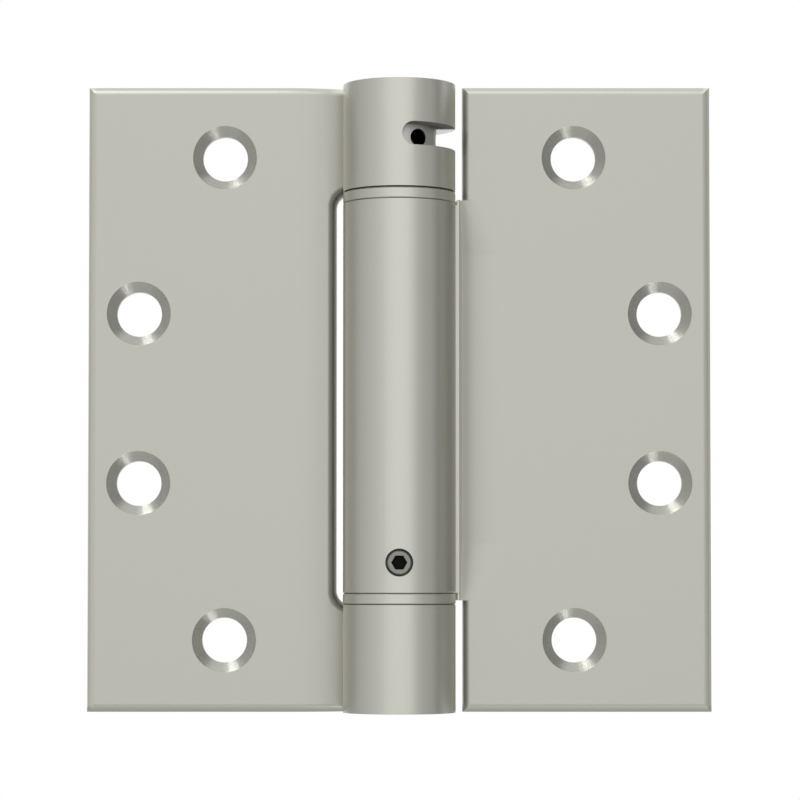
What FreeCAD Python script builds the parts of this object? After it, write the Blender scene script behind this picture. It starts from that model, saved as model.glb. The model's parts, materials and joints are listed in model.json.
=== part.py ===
import FreeCAD, Part
import math
import os
import Sketcher

# Spring loaded door hinge, laid flat open as it is photographed.
# The pin axis is Z, the origin is at its middle, and the countersunk faces look along -Y.

doc = FreeCAD.newDocument("spring_hinge")
sheet = doc.addObject("Spreadsheet::Sheet", "dims")

SIZES = (
    # plates
    ("leaf_height", 114.3),
    ("open_width", 113.8),
    ("sheet_thickness", 3.4),
    ("closed_gap", 1.6),
    ("edge_round", 1.5),
    # rolled knuckles
    ("knuckle_bore", 13.7),
    ("end_knuckle", 19.5),
    ("bend_radius", 30.0),
    ("fade_bend_radius", 13.5),
    ("fade_length", 9.0),
    ("swage_reach", 22.0),
    ("seam_gap", 0.3),
    ("barrel_gap", 1.25),
    ("notch_corner", 2.6),
    ("notch_round", 2.0),
    ("upper_overhang", 0.97),
    ("lower_overhang", 1.4),
    ("bead_width", 0.65),
    ("bead_foot", 0.7),
    ("bead_front", 0.2),
    ("bead_depth", 2.6),
    ("bead_root_depth", 0.75),
    # mounting holes
    ("hole_diameter", 8.2),
    ("countersink_diameter", 11.7),
    ("countersink_angle", 82.0),
    ("near_margin", 25.0),
    ("near_drop", 13.05),
    ("far_margin", 9.3),
    ("far_spacing", 31.0),
    # adjusting slot and the plug behind it
    ("slot_height", 4.25),
    ("slot_drop", 9.98),
    ("slot_start", 3.0),
    ("slot_sweep", 147.0),
    ("rod_hole", 3.2),
    ("rod_hole_drop", 0.3),
    ("rod_hole_turn", 30.9),
    ("rod_hole_count", 6),
    ("neck_radius", 5.4),
    ("neck_reach", 1.0),
    ("spigot_radius", 3.4),
    ("spigot_length", 7.0),
    # rings, bushes and caps
    ("ring_height", 2.2),
    ("ring_chamfer", 0.3),
    ("bush_length", 12.0),
    ("cap_thickness", 3.0),
    ("cap_chamfer", 0.5),
    # spring of square wire
    ("wire_size", 2.4),
    ("coil_radius", 5.0),
    ("coil_gap", 0.2),
    ("tang_flat", 0.1),
    # anchor plug and its set screw
    ("anchor_length", 13.0),
    ("screw_rise", 27.1),
    ("screw_diameter", 5.0),
    ("screw_chamfer", 0.45),
    ("screw_sink", 0.1),
    ("dog_diameter", 3.6),
    ("dog_length", 1.2),
    ("dog_depth", 1.1),
    ("hex_size", 2.5),
    ("hex_depth", 2.0),
    # clearances
    ("end_play", 0.12),
    ("running_fit", 0.05),
    ("press_fit", 0.02),
    ("ring_fit", 0.1),
    ("turn_room", 0.35),
    ("screw_fit", 0.05),
    ("tang_fit", 0.1),
    ("seat_play", 0.05),
)

DERIVED = (
    # plates and knuckles
    ("half_height", "=leaf_height / 2"),
    ("half_width", "=open_width / 2"),
    ("front_face", "=closed_gap / 2"),
    ("back_face", "=front_face + sheet_thickness"),
    ("bore_radius", "=knuckle_bore / 2"),
    ("barrel_radius", "=bore_radius + sheet_thickness"),
    ("plate_edge", "=barrel_radius + barrel_gap"),
    ("room_radius", "=barrel_radius + turn_room"),
    ("room_diameter", "=2 * room_radius"),
    ("end_face", "=half_height - end_knuckle"),
    ("tab_top", "=end_face - end_play - ring_height"),
    ("tab_floor", "=end_face - ring_height"),
    ("shelf_top", "=tab_top + upper_overhang"),
    ("shelf_floor", "=tab_floor + lower_overhang"),
    ("shelf_height", "=shelf_top + shelf_floor"),
    ("fade_top", "=tab_top - fade_length"),
    ("fade_floor", "=tab_floor - fade_length"),
    ("swage_height", "=fade_top + fade_floor"),
    ("tab_height", "=tab_top + tab_floor"),
    ("notch_height", "=2 * end_face"),
    ("bead_root", "=bore_radius + sheet_thickness / 2"),
    ("bead_edge", "=barrel_radius + bead_width"),
    ("bead_toe", "=bead_edge + bead_foot"),
    ("bead_back", "=bead_front + bead_depth"),
    ("bead_root_back", "=bead_front + bead_root_depth"),
    ("near_column", "=half_width - near_margin"),
    ("near_half", "=half_height - near_drop"),
    ("far_column", "=half_width - far_margin"),
    ("far_half", "=far_spacing / 2"),
    # adjusting slot
    ("slot_level", "=half_height - slot_drop"),
    ("slot_low", "=slot_level - slot_height / 2"),
    ("slot_high", "=slot_level + slot_height / 2"),
    ("slot_radius", "=slot_height / 2"),
    ("slot_inside", "=bore_radius - turn_room"),
    ("slot_end_turn", "=asin(slot_radius / barrel_radius) / 1 deg"),
    ("slot_first", "=slot_start + slot_end_turn"),
    ("slot_last", "=slot_start + slot_sweep - slot_end_turn"),
    ("slot_middle", "=slot_start + slot_sweep / 2 - 90"),
    ("slot_turn", "=slot_last - slot_first"),
    # plugs
    ("head_radius", "=bore_radius - running_fit"),
    ("neck_length", "=bush_length + neck_reach"),
    ("head_foot", "=tab_top + ring_height"),
    ("head_top", "=half_height - cap_thickness - turn_room"),
    ("neck_foot", "=head_foot - neck_length"),
    ("plug_foot", "=neck_foot - spigot_length"),
    ("plug_shoulder", "=spigot_length + neck_length"),
    ("plug_height", "=head_top - plug_foot"),
    ("rod_level", "=slot_level - rod_hole_drop - plug_foot"),
    ("spigot_half", "=wire_size / 2 + tang_fit"),
    ("anchor_radius", "=bore_radius - press_fit"),
    ("anchor_shoulder", "=turn_room - tab_floor"),
    ("anchor_seat", "=anchor_shoulder + anchor_length"),
    ("journal_foot", "=ring_height - end_face - bush_length"),
    ("journal_length", "=anchor_shoulder - journal_foot"),
    ("anchor_top", "=journal_length + anchor_length"),
    ("anchor_height", "=anchor_top + spigot_length"),
    # rings, bushes and caps
    ("ring_bore", "=bore_radius + ring_fit"),
    ("ring_land", "=barrel_radius - ring_chamfer"),
    ("ring_shoulder", "=ring_height - ring_chamfer"),
    ("bush_radius", "=bore_radius - press_fit"),
    ("bush_bore", "=neck_radius + running_fit"),
    ("upper_bush_foot", "=head_foot - bush_length"),
    ("cap_radius", "=bore_radius - press_fit"),
    ("cap_land", "=cap_radius - cap_chamfer"),
    ("cap_shoulder", "=cap_thickness - cap_chamfer"),
    ("cap_foot", "=half_height - cap_thickness"),
    # spring
    ("spring_foot", "=anchor_seat + seat_play"),
    ("spring_height", "=neck_foot - seat_play - spring_foot"),
    ("coil_rise", "=spring_height - wire_size"),
    ("coil_turns", "=floor(coil_rise / (wire_size + coil_gap) - 0.5) + 0.5"),
    ("coil_inside", "=coil_radius - wire_size / 2"),
    ("coil_outside", "=coil_radius + wire_size / 2"),
    ("tang_size", "=wire_size - 2 * tang_flat"),
    ("tang_half", "=tang_size / 2"),
    ("tang_end", "=spigot_radius - tang_flat"),
    ("tang_level", "=coil_rise + tang_flat"),
    # set screw
    ("screw_level", "=half_height - screw_rise"),
    ("screw_radius", "=screw_diameter / 2 - screw_fit"),
    ("screw_land", "=screw_radius - screw_chamfer"),
    ("dog_radius", "=dog_diameter / 2"),
    ("dog_hole", "=dog_diameter + 2 * screw_fit"),
    ("dog_seat", "=anchor_radius - dog_depth"),
    ("dog_hole_level", "=-screw_level - journal_foot"),
    ("screw_length", "=barrel_radius - screw_sink - dog_seat"),
    ("screw_shoulder", "=screw_length - screw_chamfer"),
    ("hex_flat", "=hex_size / 2"),
    ("hex_corner", "=hex_flat / cos(30 deg)"),
    ("hex_half", "=hex_corner / 2"),
)


def bend_rows(name, radius):
    """Points of a bend whose front face leaves the plate and runs into the bore, and of the seam by it."""
    rows = (
        ("level", "=front_face + {r}"),
        ("reach", "={r} + bore_radius"),
        ("start", "=sqrt({n}_reach ^ 2 - {n}_level ^ 2)"),
        ("inside", "={r} - sheet_thickness"),
        ("bore_x", "={n}_start * bore_radius / {n}_reach"),
        ("bore_y", "={n}_level * bore_radius / {n}_reach"),
        ("barrel_x", "={n}_start * barrel_radius / {n}_reach"),
        ("barrel_y", "={n}_level * barrel_radius / {n}_reach"),
        ("spread", "=(barrel_radius ^ 2 + {n}_reach ^ 2 - ({r} + seam_gap) ^ 2)"
                   " / (2 * barrel_radius * {n}_reach)"),
        ("seam_turn", "=atan2({n}_level; {n}_start) - acos({n}_spread)"),
        ("seam_bore_x", "=bore_radius * cos({n}_seam_turn)"),
        ("seam_bore_y", "=bore_radius * sin({n}_seam_turn)"),
        ("seam_barrel_x", "=barrel_radius * cos({n}_seam_turn)"),
        ("seam_barrel_y", "=barrel_radius * sin({n}_seam_turn)"),
    )
    return tuple((name + "_" + tail, text.format(n=name, r=radius)) for tail, text in rows)


BENDS = bend_rows("bend", "bend_radius") + bend_rows("fade", "fade_bend_radius") + (
    ("notch_face", "=bend_level - sqrt(bend_radius ^ 2 - (bend_start - plate_edge) ^ 2)"),
)
for row, (alias, content) in enumerate(SIZES + DERIVED + BENDS, 1):
    sheet.set("A%d" % row, alias)
    sheet.set("B%d" % row, str(content))
    sheet.setAlias("B%d" % row, alias)
doc.recompute()


def size(name):
    """Value of a named size; a leading minus mirrors it and an empty name is zero."""
    if not name:
        return 0.0
    if name.startswith("-"):
        return -size(name[1:])
    return float(sheet.get(name))


def bound(name):
    """Expression for a named size."""
    return "-dims." + name[1:] if name.startswith("-") else "dims." + name


def spot(across, up):
    return FreeCAD.Vector(size(across), size(up), 0)


def new_body(label):
    body = doc.addObject("PartDesign::Body", label)
    body.Label = label
    return body


def new_sketch(body, name, role, lift="", turn=""):
    """Sketch on an origin plane, lifted along its normal or turned about its upright axis."""
    sketch = body.newObject("Sketcher::SketchObject", name)
    plane = [item for item in body.Origin.OriginFeatures if item.Role == role][0]
    sketch.AttachmentSupport = [(plane, "")]
    sketch.MapMode = "FlatFace"
    if turn:
        upright = FreeCAD.Rotation(FreeCAD.Vector(0, 1, 0), size(turn))
        sketch.AttachmentOffset = FreeCAD.Placement(FreeCAD.Vector(), upright)
        sketch.setExpression("AttachmentOffset.Rotation.Angle", bound(turn))
    if lift:
        sketch.setExpression("AttachmentOffset.Base.z", bound(lift))
    return sketch


def tie(sketch, kind, *refs):
    sketch.addConstraint(Sketcher.Constraint(kind, *refs))


def dimension(sketch, kind, refs, name):
    """Dimension driven by a named size."""
    index = sketch.addConstraint(Sketcher.Constraint(kind, *refs, size(name)))
    sketch.setExpression("Constraints[%d]" % index, bound(name))


def hold_point(sketch, item, end, across, up):
    """Hold a point at two named sizes; an empty name puts it on the axis."""
    for kind, axis, name in (("DistanceX", -2, across), ("DistanceY", -1, up)):
        if name:
            dimension(sketch, kind, (item, end), name)
        else:
            tie(sketch, "PointOnObject", item, end, axis)


def draw_side(sketch, start, end, arc):
    """One side of an outline, as its number and the ends it starts and stops with."""
    if not arc:
        return sketch.addGeometry(Part.LineSegment(start, end), False), 1, 2
    centre, radius, forward = arc
    middle = spot(*centre)
    first, last = (start, end) if forward else (end, start)
    begin = math.atan2(first.y - middle.y, first.x - middle.x)
    finish = math.atan2(last.y - middle.y, last.x - middle.x)
    if finish <= begin:
        finish += 2 * math.pi
    ring = Part.Circle(middle, FreeCAD.Vector(0, 0, 1), size(radius))
    item = sketch.addGeometry(Part.ArcOfCircle(ring, begin, finish), False)
    dimension(sketch, "Radius", (item,), radius)
    return (item, 1, 2) if forward else (item, 2, 1)


def draw_outline(sketch, corners, arcs=None):
    """Closed outline through named corners; arcs are given by the number of the corner they leave."""
    points = [spot(*corner) for corner in corners]
    sides = []
    for number, point in enumerate(points):
        following = points[(number + 1) % len(points)]
        sides.append(draw_side(sketch, point, following, (arcs or {}).get(number)))
    for (item, _, last), (following, first, _) in zip(sides, sides[1:] + sides[:1]):
        tie(sketch, "Coincident", item, last, following, first)
    for (item, first, _), corner in zip(sides, corners):
        hold_point(sketch, item, first, *corner)


def draw_circles(sketch, diameter, centres):
    """Equal circles on named centres."""
    for centre in centres:
        ring = Part.Circle(spot(*centre), FreeCAD.Vector(0, 0, 1), size(diameter) / 2)
        item = sketch.addGeometry(ring, False)
        dimension(sketch, "Diameter", (item,), diameter)
        hold_point(sketch, item, 3, *centre)


def feature(body, kind, name, sketch, **driven):
    """Feature made from a sketch; each keyword names a property and the size that drives it."""
    item = body.newObject("PartDesign::" + kind, name)
    item.Profile = sketch
    for prop, alias in driven.items():
        item.setExpression(prop, bound(alias))
    return item


def rounded(body, name, radius, test):
    """Rounding of the edges of the shape so far that pass a test."""
    doc.recompute()
    base = body.Tip
    picked = ["Edge%d" % n for n, edge in enumerate(base.Shape.Edges, 1) if test(edge)]
    item = body.newObject("PartDesign::Fillet", name)
    item.Base = (base, picked)
    item.setExpression("Radius", bound(radius))
    return item


def turned(body, name, corners):
    """Solid of revolution about Z from a half outline."""
    sketch = new_sketch(body, name + "_outline", "XZ_Plane")
    draw_outline(sketch, corners)
    spun = feature(body, "Revolution", name, sketch)
    spun.ReferenceAxis = (sketch, ["V_Axis"])
    spun.Angle = 360
    return spun


def radial_cut(body, name, diameter, level, lift="", turn=""):
    """Round cut that runs outwards through the side of a barrel or plug."""
    sketch = new_sketch(body, name + "_circle", "XZ_Plane", lift, turn)
    draw_circles(sketch, diameter, [("", level)])
    cut = feature(body, "Pocket", name, sketch, Length="half_width")
    cut.Reversed = True
    return cut


def raised(body, level):
    body.setExpression("Placement.Base.z", bound(level))


def near(value, name):
    return abs(value - size(name)) < 1e-3


def is_line(edge):
    return edge.Curve.TypeId == "Part::GeomLine"


def is_front_edge(edge):
    """Outer edges of the front face, and the edge of the flat that faces the barrel."""
    middle = edge.CenterOfMass
    outer = near(abs(middle.z), "half_height") or near(middle.x, "-half_width")
    return is_line(edge) and near(middle.y, "front_face") and (outer or near(middle.x, "-plate_edge"))


def is_notch_edge(edge):
    """Front edge of the notch, along the bend."""
    middle = edge.CenterOfMass
    return is_line(edge) and near(middle.x, "-plate_edge") and near(middle.y, "notch_face")


AXIS = ("", "")


def bend_arcs(name, radius, front, rear):
    """The two faces of a bend, which share their centre."""
    centre = ("-" + name + "_start", name + "_level")
    return {front: (centre, radius, True), rear: (centre, name + "_inside", False)}


def screw_holes(body):
    """Four countersunk holes in the flat of a leaf."""
    sketch = new_sketch(body, body.Label + "_hole_centres", "XZ_Plane", lift="-front_face")
    centres = [("-near_column", "near_half"), ("-near_column", "-near_half")]
    centres += [("-far_column", "far_half"), ("-far_column", "-far_half")]
    draw_circles(sketch, "hole_diameter", centres)
    doc.recompute()
    holes = feature(body, "Hole", body.Label + "_screw_holes", sketch)
    holes.DepthType = "ThroughAll"
    holes.HoleCutType = "Countersink"
    holes.HoleCutCustomValues = True
    holes.setExpression("Diameter", "dims.hole_diameter")
    holes.setExpression("HoleCutDiameter", "dims.countersink_diameter")
    holes.setExpression("HoleCutCountersinkAngle", "dims.countersink_angle")
    return holes


# Left leaf with the two end knuckles

outer_leaf = new_body("outer_leaf")
plate = new_sketch(outer_leaf, "plate_section", "XY_Plane", lift="-half_height")
draw_outline(plate, (
    ("-half_width", "front_face"),
    ("-bend_start", "front_face"),
    ("-bend_bore_x", "bend_bore_y"),
    ("-bend_barrel_x", "bend_barrel_y"),
    ("-bend_start", "back_face"),
    ("-half_width", "back_face"),
), bend_arcs("bend", "bend_radius", 1, 3))
feature(outer_leaf, "Pad", "plate", plate, Length="leaf_height")

notch = new_sketch(outer_leaf, "notch_outline", "XZ_Plane", lift="-half_width")
draw_outline(notch, (
    ("-plate_edge", "-end_face"),
    ("barrel_radius", "-end_face"),
    ("barrel_radius", "end_face"),
    ("-plate_edge", "end_face"),
))
notch_cut = feature(outer_leaf, "Pocket", "notch", notch, Length="open_width")
notch_cut.Reversed = True
rounded(outer_leaf, "notch_corners", "notch_corner", lambda edge: (
    is_line(edge) and near(edge.CenterOfMass.x, "-plate_edge")
    and near(abs(edge.CenterOfMass.z), "end_face")))

rounded(outer_leaf, "outer_leaf_edges", "edge_round", is_front_edge)
rounded(outer_leaf, "notch_edges", "notch_round", is_notch_edge)

room = new_sketch(outer_leaf, "room_circle", "XY_Plane", lift="end_face")
draw_circles(room, "room_diameter", [AXIS])
feature(outer_leaf, "Pocket", "room", room, Length="notch_height")

for where, level in (("top", "end_face"), ("bottom", "-half_height")):
    roll = new_sketch(outer_leaf, where + "_roll", "XY_Plane", lift=level)
    draw_outline(roll, (
        ("-bend_bore_x", "bend_bore_y"),
        ("-bend_seam_bore_x", "bend_seam_bore_y"),
        ("-bend_seam_barrel_x", "bend_seam_barrel_y"),
        ("-bend_barrel_x", "bend_barrel_y"),
    ), {0: (AXIS, "bore_radius", False), 2: (AXIS, "barrel_radius", True)})
    feature(outer_leaf, "Pad", where + "_knuckle", roll, Length="end_knuckle")

slot = new_sketch(outer_leaf, "slot_section", "XZ_Plane", turn="slot_middle")
draw_outline(slot, (
    ("slot_inside", "slot_low"),
    ("room_radius", "slot_low"),
    ("room_radius", "slot_high"),
    ("slot_inside", "slot_high"),
))
slot_cut = feature(outer_leaf, "Groove", "slot", slot, Angle="slot_turn")
slot_cut.ReferenceAxis = (slot, ["V_Axis"])
slot_cut.Midplane = True
for end in ("slot_first", "slot_last"):
    radial_cut(outer_leaf, end + "_end", "slot_height", "slot_level", turn=end)
screw_holes(outer_leaf)

# Right leaf with the centre knuckle, drawn with its plate on the same side and turned over about Y

centre_leaf = new_body("centre_leaf")
half_turn = FreeCAD.Rotation(FreeCAD.Vector(0, 1, 0), 180)
centre_leaf.Placement = FreeCAD.Placement(FreeCAD.Vector(), half_turn)
flat = new_sketch(centre_leaf, "flat_outline", "XZ_Plane", lift="-front_face")
draw_outline(flat, (
    ("-half_width", "-half_height"),
    ("-plate_edge", "-half_height"),
    ("-plate_edge", "-shelf_top"),
    ("-swage_reach", "-shelf_top"),
    ("-swage_reach", "shelf_floor"),
    ("-plate_edge", "shelf_floor"),
    ("-plate_edge", "half_height"),
    ("-half_width", "half_height"),
))
flat_plate = feature(centre_leaf, "Pad", "flat", flat, Length="sheet_thickness")
flat_plate.Reversed = True
rounded(centre_leaf, "centre_leaf_edges", "edge_round", is_front_edge)


def tab_section(name, bend, radius, level):
    """Swaged sheet from the flat plate to the back of the bore."""
    sketch = new_sketch(centre_leaf, name, "XY_Plane", lift=level)
    arcs = bend_arcs(bend, radius, 1, 5)
    arcs[2] = (AXIS, "bore_radius", False)
    arcs[4] = (AXIS, "barrel_radius", True)
    draw_outline(sketch, (
        ("-swage_reach", "front_face"),
        ("-" + bend + "_start", "front_face"),
        ("-" + bend + "_bore_x", bend + "_bore_y"),
        ("", "bore_radius"),
        ("", "barrel_radius"),
        ("-" + bend + "_barrel_x", bend + "_barrel_y"),
        ("-" + bend + "_start", "back_face"),
        ("-swage_reach", "back_face"),
    ), arcs)
    return sketch


swage = tab_section("swage_section", "bend", "bend_radius", "-fade_top")
feature(centre_leaf, "Pad", "swage", swage, Length="swage_height")
for end, inner, outer in (("upper", "-fade_top", "-shelf_top"), ("lower", "fade_floor", "shelf_floor")):
    full = tab_section(end + "_full_section", "bend", "bend_radius", inner)
    fade = tab_section(end + "_fade_section", "fade", "fade_bend_radius", outer)
    loft = feature(centre_leaf, "AdditiveLoft", end + "_fade", full)
    loft.Sections = [fade]
bead = new_sketch(centre_leaf, "seam_bead_section", "XY_Plane", lift="-shelf_top")
draw_outline(bead, (
    ("-bead_root", "bead_front"),
    ("-bead_edge", "bead_front"),
    ("-bead_toe", "bead_back"),
    ("-barrel_radius", "bead_back"),
    ("-bead_root", "bead_root_back"),
))
feature(centre_leaf, "Pad", "seam_bead", bead, Length="shelf_height")
for end, level in (("upper", "-tab_top"), ("lower", "shelf_floor")):
    ring_room = new_sketch(centre_leaf, end + "_ring_room_circle", "XY_Plane", lift=level)
    draw_circles(ring_room, "room_diameter", [AXIS])
    feature(centre_leaf, "Pocket", end + "_ring_room", ring_room, Length=end + "_overhang")

centre_roll = new_sketch(centre_leaf, "centre_roll", "XY_Plane", lift="-tab_top")
draw_outline(centre_roll, (
    ("", "bore_radius"),
    ("-fade_seam_bore_x", "fade_seam_bore_y"),
    ("-fade_seam_barrel_x", "fade_seam_barrel_y"),
    ("", "barrel_radius"),
), {0: (AXIS, "bore_radius", False), 2: (AXIS, "barrel_radius", True)})
feature(centre_leaf, "Pad", "centre_knuckle", centre_roll, Length="tab_height")
radial_cut(centre_leaf, "set_screw_hole", "screw_diameter", "screw_level")
screw_holes(centre_leaf)

# Rings between the knuckles

for label, level in (("upper_ring", "tab_top"), ("lower_ring", "-end_face")):
    ring = new_body(label)
    turned(ring, label + "_turning", (
        ("ring_bore", ""),
        ("ring_land", ""),
        ("barrel_radius", "ring_chamfer"),
        ("barrel_radius", "ring_shoulder"),
        ("ring_land", "ring_height"),
        ("ring_bore", "ring_height"),
    ))
    raised(ring, level)

# Bushes that the two plugs turn in

for label, level in (("upper_bush", "upper_bush_foot"), ("lower_bush", "journal_foot")):
    bush = new_body(label)
    turned(bush, label + "_turning", (
        ("bush_bore", ""),
        ("bush_radius", ""),
        ("bush_radius", "bush_length"),
        ("bush_bore", "bush_length"),
    ))
    raised(bush, level)

# Caps that close the end knuckles

for label, level, flip in (("top_cap", "cap_foot", 0), ("bottom_cap", "-cap_foot", 180)):
    cap = new_body(label)
    turned(cap, label + "_turning", (
        AXIS,
        ("cap_radius", ""),
        ("cap_radius", "cap_shoulder"),
        ("cap_land", "cap_thickness"),
        ("", "cap_thickness"),
    ))
    facing = FreeCAD.Rotation(FreeCAD.Vector(1, 0, 0), flip)
    cap.Placement = FreeCAD.Placement(FreeCAD.Vector(), facing)
    raised(cap, level)


def spigot_slot(body, foot, top):
    """Slot across a spigot that takes the tang of the spring."""
    sketch = new_sketch(body, body.Label + "_slot_outline", "YZ_Plane")
    corners = (("-spigot_half", foot), ("spigot_half", foot), ("spigot_half", top), ("-spigot_half", top))
    draw_outline(sketch, corners)
    cut = feature(body, "Pocket", body.Label + "_slot", sketch, Length="knuckle_bore")
    cut.Midplane = True


# Plug in the top knuckle, cross drilled for the winding rod

tension_plug = new_body("tension_plug")
turned(tension_plug, "tension_plug_turning", (
    AXIS,
    ("spigot_radius", ""),
    ("spigot_radius", "spigot_length"),
    ("neck_radius", "spigot_length"),
    ("neck_radius", "plug_shoulder"),
    ("head_radius", "plug_shoulder"),
    ("head_radius", "plug_height"),
    ("", "plug_height"),
))
spigot_slot(tension_plug, "", "spigot_length")
first_hole = radial_cut(tension_plug, "rod_hole", "rod_hole", "rod_level", turn="rod_hole_turn")
rod_holes = tension_plug.newObject("PartDesign::PolarPattern", "rod_holes")
rod_holes.Originals = [first_hole]
rod_holes.Axis = (first_hole.Profile[0], ["V_Axis"])
rod_holes.Angle = 360
rod_holes.setExpression("Occurrences", "dims.rod_hole_count")
tension_plug.Tip = rod_holes
raised(tension_plug, "plug_foot")

# Plug in the foot of the centre knuckle, with the lower journal and a pocket for the set screw

anchor_plug = new_body("anchor_plug")
turned(anchor_plug, "anchor_plug_turning", (
    AXIS,
    ("neck_radius", ""),
    ("neck_radius", "journal_length"),
    ("anchor_radius", "journal_length"),
    ("anchor_radius", "anchor_top"),
    ("spigot_radius", "anchor_top"),
    ("spigot_radius", "anchor_height"),
    ("", "anchor_height"),
))
spigot_slot(anchor_plug, "anchor_top", "anchor_height")
radial_cut(anchor_plug, "dog_pocket", "dog_hole", "dog_hole_level", lift="dog_seat")
raised(anchor_plug, "journal_foot")

# Set screw with a dog point and a hexagon socket

set_screw = new_body("set_screw")
turned(set_screw, "set_screw_turning", (
    AXIS,
    ("dog_radius", ""),
    ("dog_radius", "dog_length"),
    ("screw_radius", "dog_length"),
    ("screw_radius", "screw_shoulder"),
    ("screw_land", "screw_length"),
    ("", "screw_length"),
))
socket = new_sketch(set_screw, "socket_outline", "XY_Plane", lift="screw_length")
draw_outline(socket, (
    ("hex_corner", ""),
    ("hex_half", "hex_flat"),
    ("-hex_half", "hex_flat"),
    ("-hex_corner", ""),
    ("-hex_half", "-hex_flat"),
    ("hex_half", "-hex_flat"),
))
feature(set_screw, "Pocket", "socket", socket, Length="hex_depth")
forward = FreeCAD.Rotation(FreeCAD.Vector(1, 0, 0), 90)
set_screw.Placement = FreeCAD.Placement(FreeCAD.Vector(), forward)
set_screw.setExpression("Placement.Base.y", "-dims.dog_seat")
raised(set_screw, "-screw_level")

# Torsion spring of square wire, wound left handed, with a straight tang across each end

torsion_spring = new_body("torsion_spring")
wire = new_sketch(torsion_spring, "wire_section", "XZ_Plane")
draw_outline(wire, (
    ("coil_inside", ""),
    ("coil_outside", ""),
    ("coil_outside", "wire_size"),
    ("coil_inside", "wire_size"),
))
coil = feature(torsion_spring, "AdditiveHelix", "coil", wire)
coil.ReferenceAxis = (wire, ["V_Axis"])
coil.Mode = "height-turns-angle"
coil.LeftHanded = True
coil.setExpression("Height", "dims.coil_rise")
coil.setExpression("Turns", "dims.coil_turns")
for end, level, inner, outer in (("lower", "tang_flat", "-tang_end", "coil_radius"),
                                 ("upper", "tang_level", "tang_end", "-coil_radius")):
    tang = new_sketch(torsion_spring, end + "_tang_outline", "XY_Plane", lift=level)
    corners = ((inner, "-tang_half"), (outer, "-tang_half"), (outer, "tang_half"), (inner, "tang_half"))
    draw_outline(tang, corners)
    feature(torsion_spring, "Pad", end + "_tang", tang, Length="tang_size")
raised(torsion_spring, "spring_foot")

# Check and write

doc.recompute()
for item in doc.Objects:
    if "Invalid" in item.State or "Error" in item.State:
        raise RuntimeError("%s is not up to date" % item.Name)

os.makedirs("parts", exist_ok=True)
for body in [item for item in doc.Objects if item.TypeId == "PartDesign::Body"]:
    shape = body.Shape
    if shape.isNull() or not shape.isValid() or len(shape.Solids) != 1:
        raise RuntimeError("%s is not one sound solid" % body.Label)
    shape.exportStep("parts/%s.step" % body.Label)
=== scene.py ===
import json
import math

import bmesh
import bpy
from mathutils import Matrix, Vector


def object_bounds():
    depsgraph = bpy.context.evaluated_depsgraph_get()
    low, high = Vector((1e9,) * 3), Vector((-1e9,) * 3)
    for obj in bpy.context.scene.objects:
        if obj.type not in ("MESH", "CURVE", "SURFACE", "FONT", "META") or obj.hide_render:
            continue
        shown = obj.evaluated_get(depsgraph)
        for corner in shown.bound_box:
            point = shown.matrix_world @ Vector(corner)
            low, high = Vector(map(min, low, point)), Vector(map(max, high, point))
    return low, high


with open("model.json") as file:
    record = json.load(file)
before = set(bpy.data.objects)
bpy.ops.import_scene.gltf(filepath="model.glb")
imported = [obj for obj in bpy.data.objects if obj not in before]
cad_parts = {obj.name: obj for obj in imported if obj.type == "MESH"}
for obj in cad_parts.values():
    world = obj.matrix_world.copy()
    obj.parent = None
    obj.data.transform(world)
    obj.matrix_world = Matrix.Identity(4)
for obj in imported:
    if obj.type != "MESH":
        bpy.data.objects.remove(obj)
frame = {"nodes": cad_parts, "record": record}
cad_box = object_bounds()
scene = bpy.context.scene
nodes = frame["nodes"]
record = frame["record"]

MM = 0.001

# Camera, level with the lower third of the hinge and tilted up a little
CAMERA_DISTANCE = 560 * MM
CAMERA_DROP = 34.1 * MM
CAMERA_TILT = 2.256
CAMERA_SHIFT = (0.0009, 0.08)
LENS = 138.5
SENSOR = 36.0

# Studio
FLOOR_LEVEL = -2300 * MM
FLOOR_RADIUS = 12.0
FLOOR_SIDES = 96
FLOOR_TONE = 0.74
STUDIO_TONE = 0.9
SCREEN_DISTANCE = 0.7
SCREEN_HEIGHT = 1.6
SCREEN_SIDES = 8
# Soft lamps: name, place, width, depth and power; the high and the low one light up the countersinks
LAMPS = (
    ("front_softbox", (-0.03, -0.46, 0.57), 0.55, 0.15, 0.22),
    ("high_lamp", (-0.86, -0.94, 2.03), 0.55, 0.55, 9),
    ("low_lamp", (0.86, -0.94, -2.03), 0.55, 0.55, 5),
)
# Grey screens round the hinge: two bearings from the camera's side, and how pale the screen is
SCREENS = (
    (-130, -92, 0.5),
    (-92, -70, 0.57),
    (-70, -50, 0.64),
    (-50, -34, 0.72),
    (-34, -22, 0.85),
    (30, 46, 0.57),
    (46, 62, 0.47),
    (62, 79, 0.49),
    (79, 95, 0.18),
    (95, 118, 0.7),
    (118, 150, 0.35),
)

# Finishes, and painted light and shade, as linear colours
PLATE_NICKEL = (0.555, 0.548, 0.492, 1)
BARREL_NICKEL = (0.64, 0.631, 0.571, 1)
RIM_HIGHLIGHT_NICKEL = (0.72, 0.71, 0.636, 1)
MACHINED_NICKEL = (0.48, 0.475, 0.43, 1)
NOTCH_SHADE = (0.4, 0.395, 0.355, 1)
BEND_HIGHLIGHT_NICKEL = (0.7, 0.695, 0.635, 1)
LOWER_EDGE_SHADE = (0.5, 0.494, 0.445, 1)
JOINT_SHADE = (0.52, 0.515, 0.465, 1)
CREASE_SHADE = (0.37, 0.365, 0.33, 1)
SLOT_ROOF_SHADE = (0.16, 0.16, 0.145, 1)
SLOT_ROOF_HIGHLIGHT = (0.9, 0.9, 0.88, 1)
TURNED_STEEL = (0.58, 0.575, 0.545, 1)
HOLE_SHADE = (0.012, 0.012, 0.011, 1)
BLACK_OXIDE = (0.19, 0.19, 0.172, 1)
SCREW_FACE = (0.3, 0.3, 0.27, 1)
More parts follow.
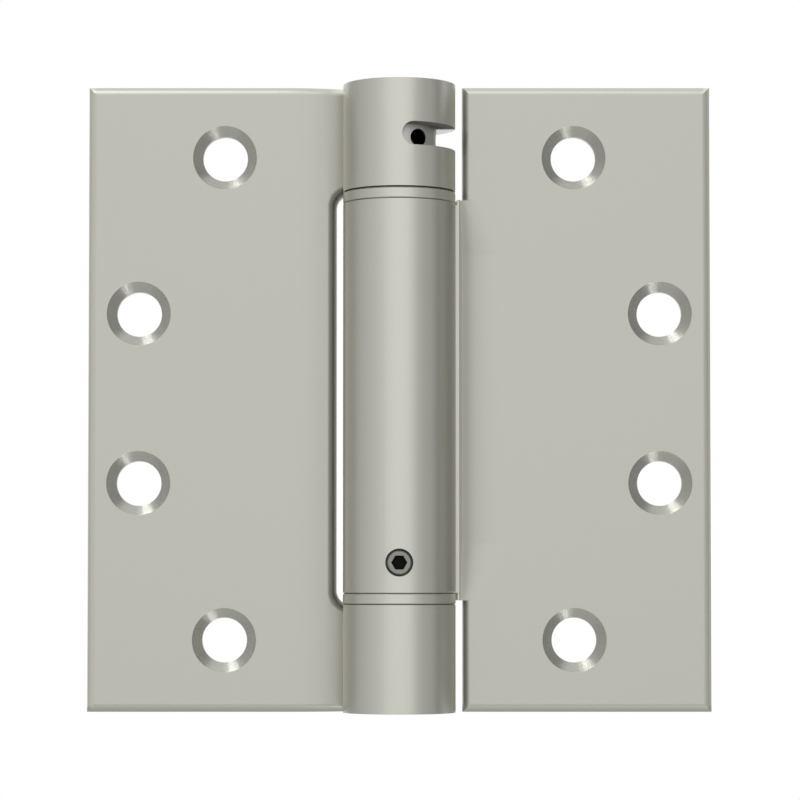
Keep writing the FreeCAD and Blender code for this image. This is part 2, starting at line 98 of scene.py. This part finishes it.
SPRING_STEEL = (0.1, 0.1, 0.105, 1)
BRONZE = (0.5, 0.31, 0.13, 1)
WORN_SHARE = 0.8

# Brushed grain: detail and roughness of the strokes, size and detail of the clouds, and the strokes' share
STROKE_DETAIL = 3
STROKE_ROUGHNESS = 0.65
CLOUD_SCALE = 90
CLOUD_DETAIL = 2
STROKE_SHARE = 0.65
# For each finish: strokes per metre along X, Y and Z, swing of the roughness and of the tone, and depth
GRAINS = {
    "satin_nickel": ((3600, 3600, 90), 0.08, 0.02, 0.002 * MM),
    "turned_steel": ((300, 300, 5000), 0.15, 0.06, 0.003 * MM),
    "spring_steel": ((900, 900, 4000), 0.2, 0.05, 0.003 * MM),
    "black_oxide": ((2500, 2500, 2500), 0.2, 0.05, 0.003 * MM),
    "bronze": ((300, 300, 5000), 0.2, 0.05, 0.003 * MM),
}

# Roughness, what the countersinks lose, and what the slot's roof and the lower edges gain
PLATE_ROUGHNESS = 0.33
BARREL_ROUGHNESS = 0.31
COUNTERSINK_CHANGE = -0.12
SLOT_ROOF_CHANGE = 0.55
LOWER_EDGE_CHANGE = 0.3
SCREW_ROUGHNESS = 0.35
PLAIN_ROUGHNESS = 0.3

# Rings left in the countersinks by the cutter; their height is in depths of the plates' grain
CUTTER_PITCH = 0.12 * MM
CUTTER_HEIGHT = 5

# Soft steps between finishes and painted light and shade, in millimetres, from the pin axis
BARREL_END = (10.5, 12.4)
CREASE_SKIN = (10.27, 10.3)
JOINT_SKIN = (10.2, 10.24)
PLATE_SKIN = (10.4, 10.8)
SLOT_SKIN = (10.1, 10.2)
DRILLED_END = (6.2, 6.6)
# across the hinge
BEND_START = (-13.2, -10.9)
CREASE_START = (8.0, 9.9)
OUTER_SIDE_END = (0, 1)
# along its depth
ROOF_HIGHLIGHT_START = (-0.5, 1.5)
# from the outer edge of a plate, from its back and from a screw hole's middle
RIM_START = (-1.5, -0.7)
BACK_END = (-0.3, -0.1)
COUNTERSINK_END = (5.8, 5.88)
# from the lower edge of a plate
LOWER_EDGE_END = (0.5, 1.4)
# from the middle of the round corner of a notch
NOTCH_START = (2.3, 2.5)
NOTCH_END = (3.8, 4.4)
# from the lower and the upper face of a ring
CREASE_END = (-0.3, 0)
BEND_END = (0, 0.4)
JOINT_START = (-0.4, -0.35)
JOINT_END = (0.35, 0.4)
# from the roof of the adjusting slot
ROOF_START = (-1.5, -0.1)
ROOF_END = (0.05, 0.15)
# from the set screw's middle and from its face
CHAMFER_START = (1.95, 2.05)
SOCKET_END = (1.48, 1.56)
SOCKET_START = (0.04, 0.12)
# Middle of the round corner of a notch: its place across, and how far it lies under the ring's foot
CORNER_ACROSS = -8.9 * MM
CORNER_DROP = 0.28 * MM
# The box of the slot's opening stops this far under the roof
SLOT_ROOM = 0.095 * MM


def box_of(node):
    """Low and high corner of a piece."""
    corners = nodes[node].bound_box
    low = Vector(min(corner[axis] for corner in corners) for axis in range(3))
    high = Vector(max(corner[axis] for corner in corners) for axis in range(3))
    return low, high


HALF_WIDTH = cad_box[1][0]
HALF_HEIGHT = cad_box[1][2]
BACK_LEVEL = record["mounts"][0]["pos_m"][1]
RING_FOOT, RING_TOP = (corner.z for corner in box_of("upper_ring"))
SLOT_ROOF = record["physics"]["openings"][0]["box_m"][1][2] + SLOT_ROOM
SCREW_PLACES = [(mount["pos_m"][0], mount["dims"]["spacing_y_mm"] * MM / 2)
                for mount in record["mounts"]
                if mount["kind"] == "bolt_pattern" and mount["pos_m"][0] > 0]


def add(tree, kind, **settings):
    """New shader node with some of its settings."""
    made = tree.nodes.new("ShaderNode" + kind)
    for name, value in settings.items():
        setattr(made, name, value)
    return made


def fill(tree, socket, source):
    """Link an input to a socket, or set its value."""
    if isinstance(source, bpy.types.NodeSocket):
        tree.links.new(source, socket)
    else:
        socket.default_value = source


def feed(tree, target, *sources):
    """Fill a node's inputs in order."""
    for socket, source in zip(target.inputs, sources):
        fill(tree, socket, source)
    return target


def math_node(tree, operation, *sources):
    return feed(tree, add(tree, "Math", operation=operation), *sources).outputs[0]


def ramp_between(tree, value, low, high, to_low, to_high):
    """Smooth step of a value from one range to another."""
    step = add(tree, "MapRange", interpolation_type="SMOOTHSTEP")
    return feed(tree, step, value, low, high, to_low, to_high).outputs[0]


def mix_colours(tree, mask, first, second):
    mix = add(tree, "Mix", data_type="RGBA")
    for name, source in (("Factor_Float", mask), ("A_Color", first), ("B_Color", second)):
        fill(tree, next(item for item in mix.inputs if item.identifier == name), source)
    return next(item for item in mix.outputs if item.identifier == "Result_Color")


def new_group(name, inputs, outputs):
    """Shader node group with named sockets, and the nodes at its two ends."""
    tree = bpy.data.node_groups.new(name, "ShaderNodeTree")
    for label, kind in inputs:
        tree.interface.new_socket(label, in_out="INPUT", socket_type="NodeSocket" + kind)
    for label, kind in outputs:
        tree.interface.new_socket(label, in_out="OUTPUT", socket_type="NodeSocket" + kind)
    return tree, tree.nodes.new("NodeGroupInput"), tree.nodes.new("NodeGroupOutput")


def brushed_group():
    """Fine strokes left by the brushing belt, and the slow unevenness of the satin."""
    tree, given, result = new_group("brushed", (("Place", "Vector"), ("Stroke", "Vector")),
                                    (("Tone", "Float"), ("Height", "Float")))
    stretched = add(tree, "VectorMath", operation="MULTIPLY")
    feed(tree, stretched, given.outputs["Place"], given.outputs["Stroke"])
    strokes = add(tree, "TexNoise")
    tree.links.new(stretched.outputs[0], strokes.inputs["Vector"])
    strokes.inputs["Scale"].default_value = 1
    strokes.inputs["Detail"].default_value = STROKE_DETAIL
    strokes.inputs["Roughness"].default_value = STROKE_ROUGHNESS
    clouds = add(tree, "TexNoise")
    tree.links.new(given.outputs["Place"], clouds.inputs["Vector"])
    clouds.inputs["Scale"].default_value = CLOUD_SCALE
    clouds.inputs["Detail"].default_value = CLOUD_DETAIL
    stroke_share = math_node(tree, "MULTIPLY", strokes.outputs["Fac"], STROKE_SHARE)
    cloud_share = math_node(tree, "MULTIPLY", clouds.outputs["Fac"], 1 - STROKE_SHARE)
    tone = math_node(tree, "ADD", stroke_share, cloud_share)
    feed(tree, result, tone, strokes.outputs["Fac"])
    return tree


def from_axis_group():
    """Distance from the pin axis, which tells barrel from plate and bore from skin."""
    tree, given, result = new_group("from_axis", (("Place", "Vector"),), (("Distance", "Float"),))
    flat = add(tree, "VectorMath", operation="MULTIPLY")
    feed(tree, flat, given.outputs["Place"], (1, 1, 0))
    length = add(tree, "VectorMath", operation="LENGTH")
    feed(tree, length, flat.outputs[0])
    feed(tree, result, length.outputs["Value"])
    return tree


def from_screws_group():
    """Distance from the nearest screw hole, which tells countersinks from the flat of a plate."""
    tree, given, result = new_group("from_screws", (("Place", "Vector"),), (("Distance", "Float"),))
    mirrored = add(tree, "VectorMath", operation="ABSOLUTE")
    feed(tree, mirrored, given.outputs["Place"])
    flat = add(tree, "VectorMath", operation="MULTIPLY")
    feed(tree, flat, mirrored.outputs[0], (1, 0, 1))
    distances = []
    for across, up in SCREW_PLACES:
        apart = add(tree, "VectorMath", operation="DISTANCE")
        feed(tree, apart, flat.outputs[0], (across, 0, up))
        distances.append(apart.outputs["Value"])
    feed(tree, result, math_node(tree, "MINIMUM", *distances))
    return tree


BRUSHED = brushed_group()
FROM_AXIS = from_axis_group()
FROM_SCREWS = from_screws_group()


class Finish:
    """A metal with brushed grain; masks and colours are added before it is closed."""

    def __init__(self, name, colour):
        self.material = bpy.data.materials.new(name)
        self.material.use_nodes = True
        self.tree = self.material.node_tree
        self.tree.nodes.clear()
        self.shader = add(self.tree, "BsdfPrincipled")
        self.shader.inputs["Metallic"].default_value = 1
        output = add(self.tree, "OutputMaterial")
        self.tree.links.new(self.shader.outputs[0], output.inputs["Surface"])
        self.place = add(self.tree, "TexCoord").outputs["Object"]
        split = feed(self.tree, add(self.tree, "SeparateXYZ"), self.place)
        self.across, self.depth, self.up = split.outputs
        self.from_axis = self.place_group(FROM_AXIS, self.place).outputs["Distance"]
        stroke, self.rough_swing, self.tone_swing, self.grain_depth = GRAINS[name]
        self.grain = self.place_group(BRUSHED, self.place, stroke)
        self.colour = colour

    def place_group(self, group, *sources):
        return feed(self.tree, add(self.tree, "Group", node_tree=group), *sources)

    def math(self, operation, *sources):
        return math_node(self.tree, operation, *sources)

    def rises(self, value, span, start=0):
        """Mask that rises over a span of millimetres counted from a start."""
        return ramp_between(self.tree, value, start + span[0] * MM, start + span[1] * MM, 0, 1)

    def falls(self, value, span, start=0):
        """Mask that falls over a span of millimetres counted from a start."""
        return ramp_between(self.tree, value, start + span[0] * MM, start + span[1] * MM, 1, 0)

    def shared(self, first, *others):
        """Mask of what all the given masks share."""
        for other in others:
            first = self.math("MULTIPLY", first, other)
        return first

    def tint(self, mask, colour):
        """Change the colour where a mask is."""
        self.colour = mix_colours(self.tree, mask, self.colour, colour)

    def close(self, roughness, marks=None):
        """Join colour, roughness and grain to the shader; marks is a height added to the grain's."""
        tree = self.tree
        tone = self.grain.outputs["Tone"]
        strength = self.math("MULTIPLY_ADD", tone, 2 * self.tone_swing, 1 - self.tone_swing)
        toned = add(tree, "VectorMath", operation="SCALE")
        feed(tree, toned, self.colour)
        tree.links.new(strength, toned.inputs["Scale"])
        tree.links.new(toned.outputs[0], self.shader.inputs["Base Color"])
        tree.links.new(self.math("MULTIPLY_ADD", tone, self.rough_swing, roughness),
                       self.shader.inputs["Roughness"])
        height = self.grain.outputs["Height"]
        if marks is not None:
            height = self.math("ADD", height, marks)
        bump = add(tree, "Bump")
        bump.inputs["Distance"].default_value = self.grain_depth
        bump.inputs["Strength"].default_value = 1
        tree.links.new(height, bump.inputs["Height"])
        tree.links.new(bump.outputs[0], self.shader.inputs["Normal"])
        return self.material


def before_back(finish):
    """Mask of what lies in front of the plates' backs."""
    return finish.falls(finish.depth, BACK_END, BACK_LEVEL)


def plate_rims(finish):
    """Mask of the rounded outer edges, where a paler colour is painted on as a highlight."""
    return finish.shared(finish.rises(finish.math("ABSOLUTE", finish.across), RIM_START, HALF_WIDTH),
                         before_back(finish))


def lower_edges(finish):
    """Mask of the lower edges of the plates, painted darker as shade and made rougher than the face."""
    return finish.shared(finish.falls(finish.up, LOWER_EDGE_END, -HALF_HEIGHT),
                         finish.rises(finish.from_axis, PLATE_SKIN),
                         before_back(finish))


def notch_edge(finish):
    """Mask of the rounded edge beside the centre knuckle, painted darker as the shade beside the barrel.
    """
    aside = finish.math("MAXIMUM", finish.math("SUBTRACT", CORNER_ACROSS, finish.across), 0)
    height = finish.math("ABSOLUTE", finish.up)
    above = finish.math("MAXIMUM", finish.math("SUBTRACT", height, RING_FOOT - CORNER_DROP), 0)
    squares = finish.math("MULTIPLY_ADD", aside, aside, finish.math("MULTIPLY", above, above))
    from_corner = finish.math("SQRT", squares)
    return finish.shared(finish.rises(from_corner, NOTCH_START),
                         finish.falls(from_corner, NOTCH_END),
                         before_back(finish),
                         finish.rises(finish.from_axis, PLATE_SKIN),
                         finish.falls(finish.across, OUTER_SIDE_END))


def knuckle_bends(finish):
    """Mask of the outer leaf's bends beside its knuckles, where a brighter colour is painted on as a
    highlight.
    """
    height = finish.math("ABSOLUTE", finish.up)
    return finish.shared(finish.rises(height, BEND_END, RING_TOP),
                         finish.rises(finish.across, BEND_START),
                         finish.rises(finish.from_axis, PLATE_SKIN),
                         finish.falls(finish.across, OUTER_SIDE_END))


def ring_joints(finish):
    """Mask of the chamfers and end faces that meet at the two rings, painted darker as the shade in the
    grooves there.
    """
    height = finish.math("ABSOLUTE", finish.up)
    return finish.shared(finish.falls(finish.from_axis, JOINT_SKIN),
                         finish.rises(height, JOINT_START, RING_FOOT),
                         finish.falls(height, JOINT_END, RING_TOP))


def knuckle_crease(finish):
    """Mask of the centre knuckle's side in the crease with its plate, painted darker as the shade in the
    crease.
    """
    height = finish.math("ABSOLUTE", finish.up)
    return finish.shared(finish.falls(height, CREASE_END, RING_FOOT),
                         finish.rises(finish.across, CREASE_START),
                         finish.falls(finish.from_axis, CREASE_SKIN))


def countersinks(finish):
    """Mask of the countersinks, and the height of the rings that the cutter left in them."""
    distance = finish.place_group(FROM_SCREWS, finish.place).outputs["Distance"]
    mask = finish.shared(finish.falls(distance, COUNTERSINK_END), before_back(finish))
    turns = finish.math("SINE", finish.math("MULTIPLY", distance, 2 * math.pi / CUTTER_PITCH))
    return mask, finish.shared(mask, finish.math("MULTIPLY", turns, CUTTER_HEIGHT))


def slot_roof(finish):
    """Masks of the adjusting slot's roof, painted dark as shade, and of its rear stretch, painted bright
    as a reflection.
    """
    roof = finish.shared(finish.falls(finish.from_axis, SLOT_SKIN),
                         finish.rises(finish.up, ROOF_START, SLOT_ROOF),
                         finish.falls(finish.up, ROOF_END, SLOT_ROOF))
    return roof, finish.rises(finish.depth, ROOF_HIGHLIGHT_START)


def satin_nickel():
    """Brushed plates, and a barrel that is taken as a little brighter."""
    finish = Finish("satin_nickel", PLATE_NICKEL)
    tree = finish.tree
    barrel = finish.falls(finish.from_axis, BARREL_END)
    finish.tint(barrel, BARREL_NICKEL)
    # Painted highlight: the rounded outer edges are made paler.
    finish.tint(plate_rims(finish), RIM_HIGHLIGHT_NICKEL)
    # Painted highlight: the bends beside the end knuckles are made brighter.
    finish.tint(knuckle_bends(finish), BEND_HIGHLIGHT_NICKEL)
    lower_edge = lower_edges(finish)
    # Painted shade: the lower edges are made darker; their roughness is raised further down.
    finish.tint(lower_edge, LOWER_EDGE_SHADE)
    # Painted shade: the notch's rounded edge beside the barrel is made darker.
    finish.tint(notch_edge(finish), NOTCH_SHADE)
    # Painted shade: the grooves at the two rings are made darker.
    finish.tint(ring_joints(finish), JOINT_SHADE)
    # Painted shade: the centre knuckle's side in the crease is made darker.
    finish.tint(knuckle_crease(finish), CREASE_SHADE)
    countersink, cutter_rings = countersinks(finish)
    finish.tint(countersink, MACHINED_NICKEL)
    # Painted shade on the slot's roof, and a painted reflection on its rear stretch.
    roof, grain_wear_and_roof_highlight = slot_roof(finish)
    finish.tint(roof, mix_colours(tree, grain_wear_and_roof_highlight, SLOT_ROOF_SHADE, SLOT_ROOF_HIGHLIGHT))
    dull = finish.shared(roof, finish.math("SUBTRACT", 1, grain_wear_and_roof_highlight))
    tree.links.new(finish.math("SUBTRACT", 1, dull), finish.shader.inputs["Metallic"])
    roughness = ramp_between(tree, barrel, 0, 1, PLATE_ROUGHNESS, BARREL_ROUGHNESS)
    roughness = finish.math("MULTIPLY_ADD", countersink, COUNTERSINK_CHANGE, roughness)
    roughness = finish.math("MULTIPLY_ADD", lower_edge, LOWER_EDGE_CHANGE, roughness)
    roughness = finish.math("MULTIPLY_ADD", dull, SLOT_ROOF_CHANGE, roughness)
    return finish.close(roughness, cutter_rings)


def turned_steel():
    """Turned plug, with tool marks round it and painted shade inside its drilled holes."""
    finish = Finish("turned_steel", TURNED_STEEL)
    # Painted shade: the drilled holes are made nearly black.
    finish.tint(finish.falls(finish.from_axis, DRILLED_END), HOLE_SHADE)
    return finish.close(PLAIN_ROUGHNESS)


def socket_screw():
    """Screw with a ground face, a blackened chamfer and painted shade in its socket."""
    finish = Finish("black_oxide", SCREW_FACE)
    low, high = box_of("set_screw")
    middle = (low + high) / 2
    flat = add(finish.tree, "VectorMath", operation="MULTIPLY")
    feed(finish.tree, flat, finish.place, (1, 0, 1))
    apart = add(finish.tree, "VectorMath", operation="DISTANCE")
    feed(finish.tree, apart, flat.outputs[0], (middle.x, 0, middle.z))
    distance = apart.outputs["Value"]
    finish.tint(finish.rises(distance, CHAMFER_START), BLACK_OXIDE)
    socket = finish.shared(finish.falls(distance, SOCKET_END),
                           finish.rises(finish.depth, SOCKET_START, low.y))
    # Painted shade: the socket is made nearly black.
    finish.tint(socket, HOLE_SHADE)
    return finish.close(SCREW_ROUGHNESS)


def plain_metal(name, colour):
    """Metal of one colour, darker where the grain wears."""
    grain_wear_and_roof_highlight = tuple(WORN_SHARE * channel for channel in colour[:3]) + (1,)
    finish = Finish(name, grain_wear_and_roof_highlight)
    finish.tint(finish.grain.outputs["Tone"], colour)
    return finish.close(PLAIN_ROUGHNESS)


FINISHES = {
    "satin_nickel": satin_nickel(),
    "turned_steel": turned_steel(),
    "spring_steel": plain_metal("spring_steel", SPRING_STEEL),
    "black_oxide": socket_screw(),
    "bronze": plain_metal("bronze", BRONZE),
}
for subpart in record["subparts"]:
    mesh = nodes[subpart["node"]].data
    mesh.materials.clear()
    mesh.materials.append(FINISHES[subpart["material_slot"]])


def stage_material(name, tone, emission):
    """Plain pale surface of the studio, as paint or as its own soft glow."""
    material = bpy.data.materials.new(name)
    material.use_nodes = True
    tree = material.node_tree
    tree.nodes.clear()
    shader = add(tree, "Emission" if emission else "BsdfDiffuse")
    shader.inputs["Color"].default_value = (tone, tone, tone, 1)
    output = add(tree, "OutputMaterial")
    tree.links.new(shader.outputs[0], output.inputs["Surface"])
    return material


def stage_object(name, shape, material):
    mesh = bpy.data.meshes.new(name)
    shape.to_mesh(mesh)
    shape.free()
    mesh.materials.append(material)
    made = bpy.data.objects.new(name, mesh)
    scene.collection.objects.link(made)
    return made


def studio_floor():
    shape = bmesh.new()
    bmesh.ops.create_circle(shape, cap_ends=True, segments=FLOOR_SIDES, radius=FLOOR_RADIUS)
    bmesh.ops.translate(shape, verts=shape.verts, vec=(0, 0, FLOOR_LEVEL))
    stage_object("floor", shape, stage_material("pale_floor", FLOOR_TONE, False))


def grey_screen(name, first, last, tone):
    """Upright curved screen between two bearings from the camera's side, which only reflections see."""
    shape = bmesh.new()
    start = math.radians(first)
    foot = SCREEN_DISTANCE * Vector((math.sin(start), -math.cos(start), 0))
    low = shape.verts.new(foot - Vector((0, 0, SCREEN_HEIGHT / 2)))
    high = shape.verts.new(foot + Vector((0, 0, SCREEN_HEIGHT / 2)))
    upright = shape.edges.new((low, high))
    bmesh.ops.spin(shape, geom=[low, high, upright], cent=(0, 0, 0), axis=(0, 0, 1),
                   angle=math.radians(last - first), steps=SCREEN_SIDES)
    screen = stage_object(name, shape, stage_material(name + "_paper", tone, True))
    screen.visible_camera = False
    screen.visible_shadow = False


def studio_world():
    """White to the eye and in reflections, and a plain soft light on everything."""
    world = bpy.data.worlds.new("studio")
    scene.world = world
    world.use_nodes = True
    tree = world.node_tree
    tree.nodes.clear()
    path = add(tree, "LightPath")
    seen = math_node(tree, "MAXIMUM", path.outputs["Is Camera Ray"], path.outputs["Is Glossy Ray"])
    seen = math_node(tree, "MAXIMUM", seen, path.outputs["Is Transmission Ray"])
    backdrop = add(tree, "Background")
    soft = add(tree, "Background")
    backdrop.inputs["Color"].default_value = (1, 1, 1, 1)
    soft.inputs["Color"].default_value = (STUDIO_TONE, STUDIO_TONE, STUDIO_TONE, 1)
    mix = add(tree, "MixShader")
    feed(tree, mix, seen, soft.outputs[0], backdrop.outputs[0])
    output = add(tree, "OutputWorld")
    tree.links.new(mix.outputs[0], output.inputs["Surface"])


def soft_lamp(name, place, width, depth, power):
    """Rectangular lamp aimed at the middle of the hinge."""
    light = bpy.data.lights.new(name, "AREA")
    light.shape = "RECTANGLE"
    light.size = width
    light.size_y = depth
    light.energy = power
    lamp = bpy.data.objects.new(name, light)
    lamp.location = place
    lamp.rotation_euler = Vector(place).to_track_quat("Z", "Y").to_euler()
    lamp.visible_camera = False
    scene.collection.objects.link(lamp)


def photo_camera():
    data = bpy.data.cameras.new("camera")
    data.lens = LENS
    data.sensor_width = SENSOR
    data.sensor_fit = "HORIZONTAL"
    data.shift_x, data.shift_y = CAMERA_SHIFT
    camera = bpy.data.objects.new("camera", data)
    camera.location = (0, -CAMERA_DISTANCE, -CAMERA_DROP)
    camera.rotation_euler = (math.radians(90 + CAMERA_TILT), 0, 0)
    scene.collection.objects.link(camera)
    scene.camera = camera


studio_floor()
for number, (first, last, tone) in enumerate(SCREENS, 1):
    grey_screen("screen_%d" % number, first, last, tone)
studio_world()
for lamp_row in LAMPS:
    soft_lamp(*lamp_row)
photo_camera()
scene.view_settings.view_transform = "Standard"
